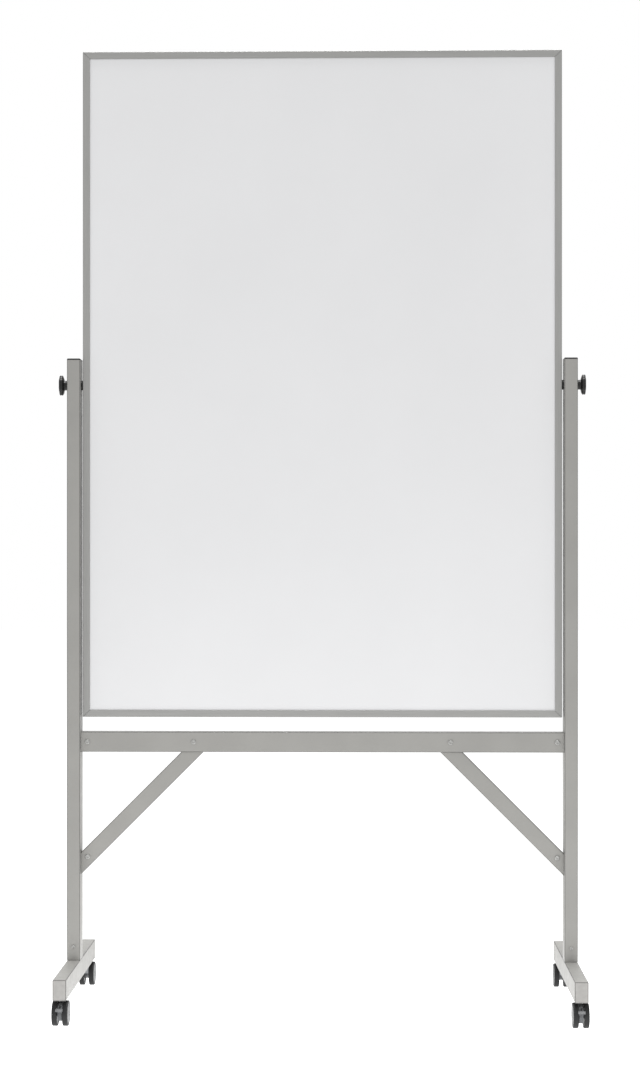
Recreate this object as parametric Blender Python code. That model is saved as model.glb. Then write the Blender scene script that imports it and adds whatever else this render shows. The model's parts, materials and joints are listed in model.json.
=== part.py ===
"""Rolling two-sided whiteboard.

A tall framed board turns end over end between two posts and is clamped by a knob on
each side.  The stand has two feet, a crossbar, two braces and four twin-wheel casters.

Metres, +Z up, +X to the right, the front faces -Y.  The origin is on the floor, midway
between the feet.
"""

import math

import bmesh
import bpy

GAP = 0.0003                 # clearance between pieces that touch
ROOT_TWO = math.sqrt(2.0)
FINE = 32                    # points round a wheel
COARSE = 16                  # points round a pin, a bore or another small round
OVERCUT = 0.005              # how far a cutter runs past the face it enters
SMOOTH_ANGLE = math.radians(32)          # a sharper edge stays an edge
SIDES = (("left", -1), ("right", 1))
ENDS = (("front", -1), ("rear", 1))

# ---- writing board ----
BOARD_WIDTH = 1.232
BOARD_HEIGHT = 1.7127
BOARD_BOTTOM = 0.7425
BOARD_THICKNESS = 0.022
RAIL_FACE = 0.018            # width of the frame seen from the front
RAIL_WALL = 0.002
RAIL_ROUND = 0.0012
RAIL_SEAM = 0.0005           # open seam of each mitred corner
SHEET_THICKNESS = 0.0005
BOARD_RISE = 0.0020          # height of the board's middle above its pivot
PIVOT_Z = BOARD_BOTTOM + BOARD_HEIGHT / 2 - BOARD_RISE

# ---- stand ----
TUBE_RADIUS = 0.0025         # round of every tube's corners
TUBE_WALL = 0.0018
POST_WIDTH = 0.0342
POST_DEPTH = 0.0508
POST_X = 0.6381
POST_TOP = 1.6608
POST_INNER_X = POST_X - POST_WIDTH / 2
POST_OUTER_X = POST_X + POST_WIDTH / 2
POST_CAP_HEIGHT = 0.0040

FOOT_WIDTH = POST_WIDTH
FOOT_HEIGHT = 0.0518
FOOT_BOTTOM = 0.066
FOOT_LENGTH = 0.540
FOOT_CAP_THICKNESS = 0.0025
FOOT_TOP = FOOT_BOTTOM + FOOT_HEIGHT
FOOT_Z = FOOT_BOTTOM + FOOT_HEIGHT / 2
FOOT_HALF_TUBE = FOOT_LENGTH / 2 - FOOT_CAP_THICKNESS

BAR_HEIGHT = 0.0517
BAR_DEPTH = POST_WIDTH
BAR_BOTTOM = 0.6530
BAR_Z = BAR_BOTTOM + BAR_HEIGHT / 2

BRACE_WIDTH = 0.0404         # across the brace, seen from the front
BRACE_DEPTH = 0.0254
BRACE_WALL = 0.0015
BRACE_LINE = 0.9857          # x + z all along the middle of a 45 degree brace
BRACE_TOP = BAR_BOTTOM - GAP
BRACE_FOOT_X = POST_INNER_X - GAP

PLUG_CLEARANCE = 0.0004      # between a plug and the tube around it
PLUG_DEPTH = 0.020
CAP_BEVEL_SHARE = 0.4        # of a cap's thickness
SLEEVE_WALL = 0.0025
SLEEVE_HEIGHT = 0.060

# tongues: blocks welded to one tube that a screw holds inside the next tube
BAR_TONGUE = (0.038, 0.026, 0.036)       # on the posts, in the crossbar's ends
FOOT_TONGUE = (0.030, 0.020, 0.0195)     # on the posts, in the braces' lower ends
FOOT_TONGUE_Z = 0.3794
TOP_TONGUE = (0.022, 0.018, 0.036)       # on the braces, in the crossbar
TOP_TONGUE_X = 0.3300
TOP_PLATE = 0.002

# ---- screws ----
END_SCREW_X = 0.6035
BRACE_SCREW_Z = 0.3826
POST_SCREW_Z = 0.1535
SCREW_HEAD_RADIUS = 0.0065
SMALL_HEAD_RADIUS = 0.0045
SCREW_HEAD_HEIGHT = 0.0024
HEAD_EDGE_SHARE = 0.4        # upright part of the head's height
HEAD_TOP_SHARE = 0.8         # flat top's share of the head's radius
SOCKET_SHARE = 0.42          # hexagon recess, across flats, to the head's width
SCREW_POINTS = 12            # round a screw: a hexagon needs a multiple of six
SOCKET_DEPTH = 0.0014
SHANK_RADIUS = 0.0025
SHANK_LENGTH = 0.012
SCREW_HOLE_RADIUS = SHANK_RADIUS + 0.0004

# ---- pivot ----
STUD_RADIUS = 0.004
STUD_HOLE_RADIUS = STUD_RADIUS + 0.0004
STUD_END_X = 0.587
INSERT_RADIUS = 0.0062
INSERT_LENGTH = 0.030
SPACER_RADIUS = 0.0125
KNOB_LOBES = 7
KNOB_RADIUS = 0.026
KNOB_NECK_RADIUS = 0.0125
KNOB_NECK_LENGTH = 0.0092
KNOB_HEAD_LENGTH = 0.0125
KNOB_BEVEL = 0.0025
LOBE_DEPTH = 0.0022
KNOB_FACE_SHARE = 0.8        # flat face's share of the knob's radius
FACE_LOBE_SHARE = 0.5        # and of its lobes' depth

# ---- casters: each faces -Y from its own swivel axis, the origin on the floor ----
WHEEL_RADIUS = 0.031
WHEEL_INNER = 0.0064         # from the caster's middle to a wheel's inner face
WHEEL_OUTER = 0.0197
TREAD_ROUND = 0.002          # bevel of the tread's two edges
WHEEL_TRAIL = 0.018          # from the swivel axis to the wheels' axle
SWIVEL_Y = 0.224
CASTER_X = POST_X
AXLE_RADIUS = 0.003
AXLE_HALF = 0.0167
AXLE_BORE_RADIUS = AXLE_RADIUS + 0.0003
STEM_RADIUS = 0.004
STEM_BORE_RADIUS = STEM_RADIUS + 0.0003
STEM_FLANGE_RADIUS = 0.0065
STEM_TOP = 0.090
STEM_BOTTOM = 0.038
WELD_NUT_RADIUS = 0.0085
WELD_NUT_HEIGHT = 0.010
HOUSING_HALF = 0.0058
HOUSING_RADIUS = 0.024       # round part of the housing, about the axle
HOOD_BOTTOM = 0.0355
WEB_HALF = 0.0050            # the narrow web below the hood, which holds the axle
WEB_BOTTOM = 0.0155
WEB_TOE_Y = -0.0288          # front end of the web's level underside
WEB_BACK_Y = -0.004          # rear end of the web's top
HOOD_STEPS = 12
WEB_STEPS = 8
AXLE_BOSS_RADIUS = 0.0048
BOSS_HALF = 0.008
BOSS_TOP = 0.0600
COLLAR_RADIUS = 0.010
COLLAR_TOP = 0.0635
SWIVEL_CLEARANCE = 0.0005    # between the collar and the stem's flange
SLOT_HALF = 0.0023
SLOT_FLOOR = 0.0380
SLOT_BACK = -0.0262
PEDAL_PIVOT = (-0.031, 0.043)            # y and z
PEDAL_HUB_RADIUS = 0.004
PEDAL_PIN_RADIUS = 0.0019
PEDAL_PIN_HALF = 0.0055
PEDAL_ARM_HALF = 0.0020
PEDAL_PAD_HALF = 0.009
PEDAL_PAD_TOP = (-0.0465, 0.0478)        # y and z of the pad's inner edge
PEDAL_PAD_LENGTH = 0.0095
PEDAL_PAD_THICKNESS = 0.0022
PEDAL_PAD_SLOPE = math.radians(32)
PEDAL_ROUND = 0.0025

# finish: linear colour, roughness, metallic
FINISHES = {
    "grey_paint": ((0.36, 0.36, 0.34), 0.42, 0.0),
    "aluminium": ((0.55, 0.55, 0.54), 0.35, 1.0),
    "white_enamel": ((0.78, 0.79, 0.80), 0.18, 0.0),
    "core_board": ((0.52, 0.40, 0.26), 0.85, 0.0),
    "steel": ((0.50, 0.50, 0.50), 0.35, 1.0),
    "black_plastic": ((0.025, 0.025, 0.027), 0.45, 0.0),
    "grey_plastic": ((0.46, 0.46, 0.44), 0.45, 0.0),
    "housing_plastic": ((0.10, 0.105, 0.11), 0.40, 0.0),
    "wheel_plastic": ((0.05, 0.05, 0.052), 0.50, 0.0),
}


# ---------------------------------------------------------------- shapes

def placed(axis, along, a, b):
    """A point `along` an axis, with its other two coordinates in X, Y, Z order."""
    if axis == "X":
        return (along, a, b)
    if axis == "Y":
        return (a, along, b)
    return (a, b, along)


def rounded_rectangle(width, height, radius, steps=3):
    """Outline of a rectangle with round corners, as (a, b) points."""
    points = []
    for corner, (right, up) in enumerate(((1, 1), (-1, 1), (-1, -1), (1, -1))):
        for step in range(steps + 1):
            angle = math.pi / 2 * (corner + step / steps)
            a = right * (width / 2 - radius) + radius * math.cos(angle)
            b = up * (height / 2 - radius) + radius * math.sin(angle)
            points.append((a, b))
    return points


def ring_of(radius_at, count):
    """Outline whose radius is a function of the angle."""
    angles = [2 * math.pi * index / count for index in range(count)]
    return [(radius_at(t) * math.cos(t), radius_at(t) * math.sin(t)) for t in angles]


def circle(radius, count=COARSE):
    return ring_of(lambda angle: radius, count)


def hexagon(apothem, count):
    """A hexagon with as many points as a circle, so that the two can be joined."""
    sixth = math.pi / 3
    return ring_of(lambda angle: apothem / math.cos(angle % sixth - sixth / 2), count)


def section(axis, along, outline, offset=(0.0, 0.0)):
    return [placed(axis, along, a + offset[0], b + offset[1]) for a, b in outline]


def skin(sections, closed=False):
    """One closed body through sections that have equally many points.

    An open run of sections gets a face at each end; a closed run joins its last
    section to its first, as the walls of a tube do.
    """
    body = bmesh.new()
    rings = [[body.verts.new(point) for point in points] for points in sections]
    pairs = list(zip(rings, rings[1:]))
    if closed:
        pairs.append((rings[-1], rings[0]))
    else:
        body.faces.new(rings[0])
        body.faces.new(rings[-1])
    for first, second in pairs:
        for index, vertex in enumerate(first):
            after = (index + 1) % len(first)
            body.faces.new((vertex, first[after], second[after], second[index]))
    bmesh.ops.recalc_face_normals(body, faces=body.faces)
    return body


def block(low, high):
    """A box from its lowest to its highest corner."""
    width, depth = high[0] - low[0], high[1] - low[1]
    middle = ((low[0] + high[0]) / 2, (low[1] + high[1]) / 2)
    corners = [(-width / 2, -depth / 2), (width / 2, -depth / 2),
               (width / 2, depth / 2), (-width / 2, depth / 2)]
    return skin([section("Z", z, corners, middle) for z in (low[2], high[2])])


def centred_block(middle, size):
    low = [m - s / 2 for m, s in zip(middle, size)]
    high = [m + s / 2 for m, s in zip(middle, size)]
    return block(low, high)


def lathe(axis, profile, offset=(0.0, 0.0), count=COARSE):
    """A turned body: the profile lists (along, radius) from one end to the other."""
    return skin([section(axis, along, circle(radius, count), offset)
                 for along, radius in profile])


def box_tube(axis, start, end, width, height, wall, offset=(0.0, 0.0)):
    """A straight rectangular tube, open at both ends."""
    outer = rounded_rectangle(width, height, TUBE_RADIUS)
    inner = rounded_rectangle(width - 2 * wall, height - 2 * wall, TUBE_RADIUS - wall)
    return skin([section(axis, start, outer, offset), section(axis, end, outer, offset),
                 section(axis, end, inner, offset), section(axis, start, inner, offset)],
                closed=True)


def end_plug(axis, face, outward, width, height, wall, thickness, offset):
    """A tube's end cap: a bevelled flange on the tube's end, and a plug inside it."""
    bevel = thickness * CAP_BEVEL_SHARE
    plug = rounded_rectangle(width - 2 * (wall + PLUG_CLEARANCE),
                             height - 2 * (wall + PLUG_CLEARANCE), TUBE_RADIUS - wall)
    flange = rounded_rectangle(width, height, TUBE_RADIUS)
    top = rounded_rectangle(width - 2 * bevel, height - 2 * bevel, TUBE_RADIUS - bevel)
    steps = ((-PLUG_DEPTH, plug), (GAP, plug), (GAP, flange),
             (thickness - bevel, flange), (thickness, top))
    return skin([section(axis, face + outward * along, outline, offset)
                 for along, outline in steps])


# ---------------------------------------------------------------- scene objects

def new_object(name, body, parent=None, location=(0.0, 0.0, 0.0)):
    mesh = bpy.data.meshes.new(name)
    body.to_mesh(mesh)
    body.free()
    mesh.shade_smooth()
    mesh.set_sharp_from_angle(angle=SMOOTH_ANGLE)
    obj = bpy.data.objects.new(name, mesh)
    obj.location = location
    obj.parent = parent
    bpy.context.scene.collection.objects.link(obj)
    return obj


def paint(obj, finish):
    """Give an object a material of its own."""
    colour, roughness, metallic = FINISHES[finish]
    material = bpy.data.materials.new(obj.name)
    material.use_nodes = True
    shader = material.node_tree.nodes["Principled BSDF"]
    shader.inputs["Base Color"].default_value = (*colour, 1.0)
    shader.inputs["Roughness"].default_value = roughness
    shader.inputs["Metallic"].default_value = metallic
    obj.data.materials.append(material)


def piece(name, body, finish, parent=None, location=(0.0, 0.0, 0.0)):
    obj = new_object(name, body, parent, location)
    paint(obj, finish)
    return obj


def combine(obj, body, operation):
    """Add a hidden body to an object, or take it away from it, with a Boolean."""
    helper = new_object(f"{obj.name}_helper_{len(obj.modifiers)}", body, obj.parent,
                        obj.location)
    helper.hide_render = True
    helper.display_type = "WIRE"
    modifier = obj.modifiers.new("shape", "BOOLEAN")
    modifier.operation = operation
    modifier.solver = "EXACT"
    modifier.object = helper


def weld_on(obj, body):
    combine(obj, body, "UNION")


def cut_out(obj, body):
    combine(obj, body, "DIFFERENCE")


def empty(name, location, parent=None, turn=0.0):
    marker = bpy.data.objects.new(name, None)
    marker.location = location
    marker.rotation_euler = (0.0, 0.0, turn)
    marker.parent = parent
    bpy.context.scene.collection.objects.link(marker)
    return marker


# ---------------------------------------------------------------- stand

def screw_hole(x, face_y, z):
    """Cutter for a screw that enters a front face at face_y."""
    return lathe("Y", ((face_y - OVERCUT, SCREW_HOLE_RADIUS),
                       (face_y + SHANK_LENGTH + 2 * GAP, SCREW_HOLE_RADIUS)),
                 (x, z))


def screw(name, x, face_y, z, head_radius, parent):
    """A pan-head screw with a hexagon recess, its head on the face at face_y."""
    seat = -GAP
    top = seat - SCREW_HEAD_HEIGHT
    socket = head_radius * SOCKET_SHARE
    count = SCREW_POINTS
    rings = ((SHANK_LENGTH, circle(SHANK_RADIUS, count)),
             (seat, circle(SHANK_RADIUS, count)),
             (seat, circle(head_radius, count)),
             (seat - HEAD_EDGE_SHARE * SCREW_HEAD_HEIGHT, circle(head_radius, count)),
             (top, circle(head_radius * HEAD_TOP_SHARE, count)),
             (top, hexagon(socket, count)),
             (top + SOCKET_DEPTH, hexagon(socket, count)))
    body = skin([section("Y", along, outline) for along, outline in rings])
    piece(name, body, "steel", parent, (x, face_y, z))


def build_post(name, side, stand):
    x = side * POST_X
    post = piece(f"{name}_post",
                 box_tube("Z", FOOT_TOP + GAP, POST_TOP, POST_WIDTH, POST_DEPTH,
                          TUBE_WALL, (x, 0.0)),
                 "grey_paint", stand)
    for size, z in ((BAR_TONGUE, BAR_Z), (FOOT_TONGUE, FOOT_TONGUE_Z)):
        middle = side * (POST_INNER_X + TUBE_WALL / 2 - size[0] / 2)
        weld_on(post, centred_block((middle, 0.0, z), size))
    cut_out(post, lathe("X", ((side * (POST_INNER_X - OVERCUT), STUD_HOLE_RADIUS),
                              (side * (POST_OUTER_X + OVERCUT), STUD_HOLE_RADIUS)),
                        (0.0, PIVOT_Z)))
    cut_out(post, screw_hole(side * END_SCREW_X, -BAR_DEPTH / 2, BAR_Z))
    cut_out(post, screw_hole(side * END_SCREW_X, -BRACE_DEPTH / 2, BRACE_SCREW_Z))
    cut_out(post, screw_hole(x, -POST_DEPTH / 2, POST_SCREW_Z))

    piece(f"{name}_post_cap",
          end_plug("Z", POST_TOP, 1, POST_WIDTH, POST_DEPTH, TUBE_WALL,
                   POST_CAP_HEIGHT, (x, 0.0)),
          "black_plastic", stand)

    slack = 2 * (TUBE_WALL + PLUG_CLEARANCE)
    sleeve = piece(f"{name}_post_sleeve",
                   box_tube("Z", FOOT_TOP + GAP, FOOT_TOP + GAP + SLEEVE_HEIGHT,
                            POST_WIDTH - slack, POST_DEPTH - slack, SLEEVE_WALL,
                            (x, 0.0)),
                   "steel", stand)
    cut_out(sleeve, screw_hole(x, -POST_DEPTH / 2, POST_SCREW_Z))
    screw(f"{name}_post_screw", x, -POST_DEPTH / 2, POST_SCREW_Z, SMALL_HEAD_RADIUS, stand)


def build_foot(name, side, stand):
    x = side * CASTER_X
    foot = piece(f"{name}_foot",
                 box_tube("Y", -FOOT_HALF_TUBE, FOOT_HALF_TUBE, FOOT_WIDTH, FOOT_HEIGHT,
                          TUBE_WALL, (x, FOOT_Z)),
                 "grey_paint", stand)
    nut_bottom = FOOT_BOTTOM + TUBE_WALL / 2
    for end, forward in ENDS:
        place = (x, forward * SWIVEL_Y)
        weld_on(foot, lathe("Z", ((nut_bottom, WELD_NUT_RADIUS),
                                  (nut_bottom + WELD_NUT_HEIGHT, WELD_NUT_RADIUS)), place))
        cut_out(foot, lathe("Z", ((FOOT_BOTTOM - OVERCUT, STEM_BORE_RADIUS),
                                  (FOOT_BOTTOM + WELD_NUT_HEIGHT + OVERCUT,
                                   STEM_BORE_RADIUS)), place))
        piece(f"{name}_foot_{end}_cap",
              end_plug("Y", forward * FOOT_HALF_TUBE, forward, FOOT_WIDTH, FOOT_HEIGHT,
                       TUBE_WALL, FOOT_CAP_THICKNESS, (x, FOOT_Z)),
              "grey_plastic", stand)


def build_crossbar(stand):
    half = POST_INNER_X - GAP
    bar = piece("crossbar",
                box_tube("X", -half, half, BAR_DEPTH, BAR_HEIGHT, TUBE_WALL, (0.0, BAR_Z)),
                "grey_paint", stand)
    for name, side in SIDES:
        slot = [extent + 2 * PLUG_CLEARANCE for extent in TOP_TONGUE]
        cut_out(bar, centred_block((side * TOP_TONGUE_X, 0.0, BAR_BOTTOM), slot))
        for label, x in (("crossbar_end", END_SCREW_X), ("crossbar_brace", TOP_TONGUE_X)):
            cut_out(bar, screw_hole(side * x, -BAR_DEPTH / 2, BAR_Z))
            screw(f"{name}_{label}_screw", side * x, -BAR_DEPTH / 2, BAR_Z,
                  SCREW_HEAD_RADIUS, stand)


def brace_section(side, width, depth, radius, at_top, inset=0.0):
    """The brace's outline where a level or an upright plane cuts it at 45 degrees."""
    points = []
    for across, y in rounded_rectangle(width, depth, radius):
        line = BRACE_LINE + ROOT_TWO * across
        if at_top:
            z = BRACE_TOP - inset
            points.append((side * (line - z), y, z))
        else:
            points.append((side * BRACE_FOOT_X, y, line - BRACE_FOOT_X))
    return points


def build_brace(name, side, stand):
    outer = (BRACE_WIDTH, BRACE_DEPTH, TUBE_RADIUS)
    inner = (BRACE_WIDTH - 2 * BRACE_WALL, BRACE_DEPTH - 2 * BRACE_WALL,
             TUBE_RADIUS - BRACE_WALL)
    body = skin([brace_section(side, *inner, True, TOP_PLATE),
                 brace_section(side, *inner, False),
                 brace_section(side, *outer, False),
                 brace_section(side, *outer, True)])
    brace = piece(f"{name}_brace", body, "grey_paint", stand)
    tongue_z = BRACE_TOP - TOP_PLATE / 2 + TOP_TONGUE[2] / 2
    weld_on(brace, centred_block((side * TOP_TONGUE_X, 0.0, tongue_z), TOP_TONGUE))
    cut_out(brace, screw_hole(side * TOP_TONGUE_X, -BAR_DEPTH / 2, BAR_Z))
    cut_out(brace, screw_hole(side * END_SCREW_X, -BRACE_DEPTH / 2, BRACE_SCREW_Z))
    screw(f"{name}_brace_foot_screw", side * END_SCREW_X, -BRACE_DEPTH / 2, BRACE_SCREW_Z,
          SCREW_HEAD_RADIUS, stand)


# ---------------------------------------------------------------- board

def rail_profile():
    """Channel section as (inset from the board's edge, y), round on its outer corners."""
    half = BOARD_THICKNESS / 2
    steps = 3
    back = []
    for step in range(steps + 1):
        angle = math.pi / 2 * step / steps
        back.append((RAIL_ROUND * (1 - math.cos(angle)),
                     half - RAIL_ROUND * (1 - math.sin(angle))))
    back += [(RAIL_FACE, half), (RAIL_FACE, half - RAIL_WALL), (RAIL_WALL, half - RAIL_WALL)]
    return back + [(inset, -y) for inset, y in reversed(back)]


def rail_body(length, outward_axis, outward):
    """A frame rail with mitred ends, about the board's middle."""
    other = BOARD_HEIGHT if outward_axis == "Z" else BOARD_WIDTH
    sections = []
    for end in (-1, 1):
        points = []
        for inset, y in rail_profile():
            reach = outward * (other / 2 - inset)
            along = end * (length / 2 - inset - RAIL_SEAM / 2)
            points.append((along, y, reach) if outward_axis == "Z" else (reach, y, along))
        sections.append(points)
    return skin(sections)


def build_board(pivot):
    """The board, each piece drawn about the board's own middle."""
    middle = (0.0, 0.0, BOARD_RISE)
    stud_line = (0.0, -BOARD_RISE)           # y and z of the pivot from that middle
    for name, outward in (("top", 1), ("bottom", -1)):
        piece(f"board_{name}_rail", rail_body(BOARD_WIDTH, "Z", outward), "aluminium", pivot,
              middle)
    for name, side in SIDES:
        rail = piece(f"board_{name}_rail", rail_body(BOARD_HEIGHT, "X", side), "aluminium",
                     pivot, middle)
        edge = side * BOARD_WIDTH / 2
        cut_out(rail, lathe("X", ((edge - OVERCUT, STUD_HOLE_RADIUS),
                                  (edge + OVERCUT, STUD_HOLE_RADIUS)), stud_line))

    half_width = BOARD_WIDTH / 2 - RAIL_WALL - GAP
    half_height = BOARD_HEIGHT / 2 - RAIL_WALL - GAP
    sheet_outer = BOARD_THICKNESS / 2 - RAIL_WALL - GAP
    sheet_inner = sheet_outer - SHEET_THICKNESS
    core_half = sheet_inner - GAP
    core = piece("board_core",
                 block((-half_width, -core_half, -half_height),
                       (half_width, core_half, half_height)),
                 "core_board", pivot, middle)
    for name, facing in (("front", -1), ("back", 1)):
        faces = sorted((facing * sheet_inner, facing * sheet_outer))
        piece(f"{name}_writing_surface",
              block((-half_width, faces[0], -half_height), (half_width, faces[1], half_height)),
              "white_enamel", pivot, middle)

    for name, side in SIDES:
        start = half_width - GAP
        deep = start - INSERT_LENGTH
        rings = ((start, INSERT_RADIUS), (deep, INSERT_RADIUS),
                 (deep, STUD_HOLE_RADIUS), (start, STUD_HOLE_RADIUS))
        body = skin([section("X", side * along, circle(radius)) for along, radius in rings],
                    closed=True)
        piece(f"{name}_pivot_insert", body, "steel", pivot)
        cut_out(core, lathe("X", ((side * (half_width + OVERCUT), INSERT_RADIUS + GAP),
                                  (side * (deep - GAP), INSERT_RADIUS + GAP)), stud_line))


def build_pivot(name, side, stand):
    """The spacer between post and board, and the clamping knob with its stud."""
    inner = BOARD_WIDTH / 2 + GAP
    outer = POST_INNER_X - GAP
    rings = ((inner, SPACER_RADIUS), (outer, SPACER_RADIUS),
             (outer, STUD_HOLE_RADIUS), (inner, STUD_HOLE_RADIUS))
    body = skin([section("X", side * along, circle(radius, FINE)) for along, radius in rings],
                closed=True)
    piece(f"{name}_pivot_spacer", body, "black_plastic", stand, (0.0, 0.0, PIVOT_Z))

    foot = POST_OUTER_X + GAP
    back = foot + KNOB_NECK_LENGTH
    face = back + KNOB_HEAD_LENGTH
    # along the stud's axis, radius, lobe depth
    stations = ((STUD_END_X, STUD_RADIUS, 0.0),
                (foot, STUD_RADIUS, 0.0),
                (foot, KNOB_NECK_RADIUS, 0.0),
                (back - KNOB_BEVEL / 2, KNOB_NECK_RADIUS, 0.0),
                (back + KNOB_BEVEL, KNOB_RADIUS, LOBE_DEPTH),
                (face - KNOB_BEVEL, KNOB_RADIUS, LOBE_DEPTH),
                (face, KNOB_RADIUS * KNOB_FACE_SHARE, LOBE_DEPTH * FACE_LOBE_SHARE))
    sections = []
    for along, radius, depth in stations:
        outline = ring_of(lambda angle: radius - depth * (1 - math.cos(KNOB_LOBES * angle)) / 2,
                          6 * KNOB_LOBES)
        sections.append(section("X", side * along, outline))
    piece(f"{name}_clamp_knob", skin(sections), "black_plastic", stand, (0.0, 0.0, PIVOT_Z))


# ---------------------------------------------------------------- casters

def axle_arc(low, high, steps):
    """Points (y, z) about the axle, from one angle above the trailing side to another."""
    points = []
    for step in range(steps + 1):
        angle = low + (high - low) * step / steps
        points.append((-WHEEL_TRAIL - HOUSING_RADIUS * math.cos(angle),
                       WHEEL_RADIUS + HOUSING_RADIUS * math.sin(angle)))
    return points


def hood_outline():
    """Side view of a caster's hood: round over the wheels, upright at the swivel boss."""
    low = math.asin((HOOD_BOTTOM - WHEEL_RADIUS) / HOUSING_RADIUS)
    high = math.acos((BOSS_HALF - WHEEL_TRAIL) / HOUSING_RADIUS)
    return axle_arc(low, high, HOOD_STEPS) + [(-BOSS_HALF, BOSS_TOP), (BOSS_HALF, BOSS_TOP),
                                      (BOSS_HALF, HOOD_BOTTOM)]


def web_outline():
    """Side view of the web below the hood: a tongue in front, rising behind the axle."""
    low = math.asin((WEB_BOTTOM - WHEEL_RADIUS) / HOUSING_RADIUS)
    high = math.asin((HOOD_BOTTOM + GAP - WHEEL_RADIUS) / HOUSING_RADIUS)
    return axle_arc(low, high, WEB_STEPS) + [(WEB_BACK_Y, HOOD_BOTTOM + GAP),
                                             (-WHEEL_TRAIL / 2, WHEEL_RADIUS - AXLE_BOSS_RADIUS),
                                             (WEB_TOE_Y, WEB_BOTTOM)]


def build_housing(name, swivel):
    hood = hood_outline()
    web = web_outline()
    housing = piece(f"{name}_caster_housing",
                    skin([section("X", x, hood) for x in (-HOUSING_HALF, HOUSING_HALF)]),
                    "housing_plastic", swivel)
    weld_on(housing, skin([section("X", x, web) for x in (-WEB_HALF, WEB_HALF)]))
    axle = (-WHEEL_TRAIL, WHEEL_RADIUS)
    weld_on(housing, lathe("X", ((-HOUSING_HALF, AXLE_BOSS_RADIUS),
                                 (HOUSING_HALF, AXLE_BOSS_RADIUS)), axle))
    weld_on(housing, lathe("Z", ((BOSS_TOP - GAP, COLLAR_RADIUS),
                                 (COLLAR_TOP, COLLAR_RADIUS))))
    cut_out(housing, lathe("Z", ((STEM_BOTTOM - SWIVEL_CLEARANCE, STEM_BORE_RADIUS),
                                 (COLLAR_TOP + OVERCUT, STEM_BORE_RADIUS))))
    reach = HOUSING_HALF + OVERCUT
    cut_out(housing, lathe("X", ((-reach, AXLE_BORE_RADIUS), (reach, AXLE_BORE_RADIUS)),
                           axle))
    cut_out(housing, block((-SLOT_HALF, -WHEEL_TRAIL - WHEEL_RADIUS, SLOT_FLOOR),
                           (SLOT_HALF, SLOT_BACK, COLLAR_TOP)))
    cut_out(housing, lathe("X", ((-reach, PEDAL_PIN_RADIUS + GAP),
                                 (reach, PEDAL_PIN_RADIUS + GAP)), PEDAL_PIVOT))


def build_pedal(name, swivel):
    """The brake lever: a sloping pad, an arm, a hub and its pin, about the pin."""
    pin_y, pin_z = PEDAL_PIVOT
    pad_y, pad_z = PEDAL_PAD_TOP[0] - pin_y, PEDAL_PAD_TOP[1] - pin_z
    run, fall = math.cos(PEDAL_PAD_SLOPE), math.sin(PEDAL_PAD_SLOPE)
    middle = PEDAL_PAD_LENGTH / 2
    outline = rounded_rectangle(2 * PEDAL_PAD_HALF, PEDAL_PAD_LENGTH, PEDAL_ROUND)
    faces = [[(x, pad_y - (s + middle) * run - depth * fall,
               pad_z - (s + middle) * fall - depth * run) for x, s in outline]
             for depth in (0.0, PEDAL_PAD_THICKNESS)]
    arm = [(0.0, PEDAL_HUB_RADIUS), (pad_y - middle * run, pad_z - middle * fall - GAP),
           (pad_y - middle * run, pad_z - middle * fall - PEDAL_PAD_THICKNESS - GAP),
           (pad_y, GAP), (0.0, -PEDAL_HUB_RADIUS)]
    half = PEDAL_ARM_HALF
    pedal = piece(f"{name}_brake_pedal", skin(faces), "grey_plastic", swivel,
                  (0.0, pin_y, pin_z))
    weld_on(pedal, skin([section("X", x, arm) for x in (-half, half)]))
    weld_on(pedal, lathe("X", ((-half, PEDAL_HUB_RADIUS), (half, PEDAL_HUB_RADIUS))))
    weld_on(pedal, lathe("X", ((-PEDAL_PIN_HALF, PEDAL_PIN_RADIUS),
                               (PEDAL_PIN_HALF, PEDAL_PIN_RADIUS))))


def wheel_body(side):
    """One wheel with a blind bore, its hub disc set into the rim."""
    bore_end = AXLE_HALF + GAP
    shoulder = WHEEL_RADIUS - TREAD_ROUND
    profile = ((bore_end, AXLE_BORE_RADIUS),
               (WHEEL_INNER, AXLE_BORE_RADIUS),
               (WHEEL_INNER, shoulder),
               (WHEEL_INNER + TREAD_ROUND, WHEEL_RADIUS),
               (WHEEL_OUTER - TREAD_ROUND, WHEEL_RADIUS),
               (WHEEL_OUTER, shoulder))
    return lathe("X", [(side * along, radius) for along, radius in profile], count=FINE)


def build_caster(name, x, y, turn, outer_side, stand):
    """One twin-wheel caster; outer_side is its outer wheel's side in its own frame."""
    flange_bottom = COLLAR_TOP + SWIVEL_CLEARANCE
    stem_profile = ((STEM_BOTTOM, STEM_RADIUS),
                    (flange_bottom, STEM_RADIUS),
                    (flange_bottom, STEM_FLANGE_RADIUS),
                    (FOOT_BOTTOM - GAP, STEM_FLANGE_RADIUS),
                    (FOOT_BOTTOM - GAP, STEM_RADIUS),
                    (STEM_TOP, STEM_RADIUS))
    piece(f"{name}_caster_stem", lathe("Z", stem_profile), "steel", stand, (x, y, 0.0))

    swivel = empty(f"{name}_swivel", (x, y, 0.0), stand, turn)
    build_housing(name, swivel)
    build_pedal(name, swivel)
    axle_place = (0.0, -WHEEL_TRAIL, WHEEL_RADIUS)
    piece(f"{name}_caster_axle",
          lathe("X", ((-AXLE_HALF, AXLE_RADIUS), (AXLE_HALF, AXLE_RADIUS))),
          "steel", swivel, axle_place)
    for label, wheel_side in (("outer", outer_side), ("inner", -outer_side)):
        piece(f"{name}_{label}_wheel", wheel_body(wheel_side), "wheel_plastic", swivel,
              axle_place)


# ---------------------------------------------------------------- assembly

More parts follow.
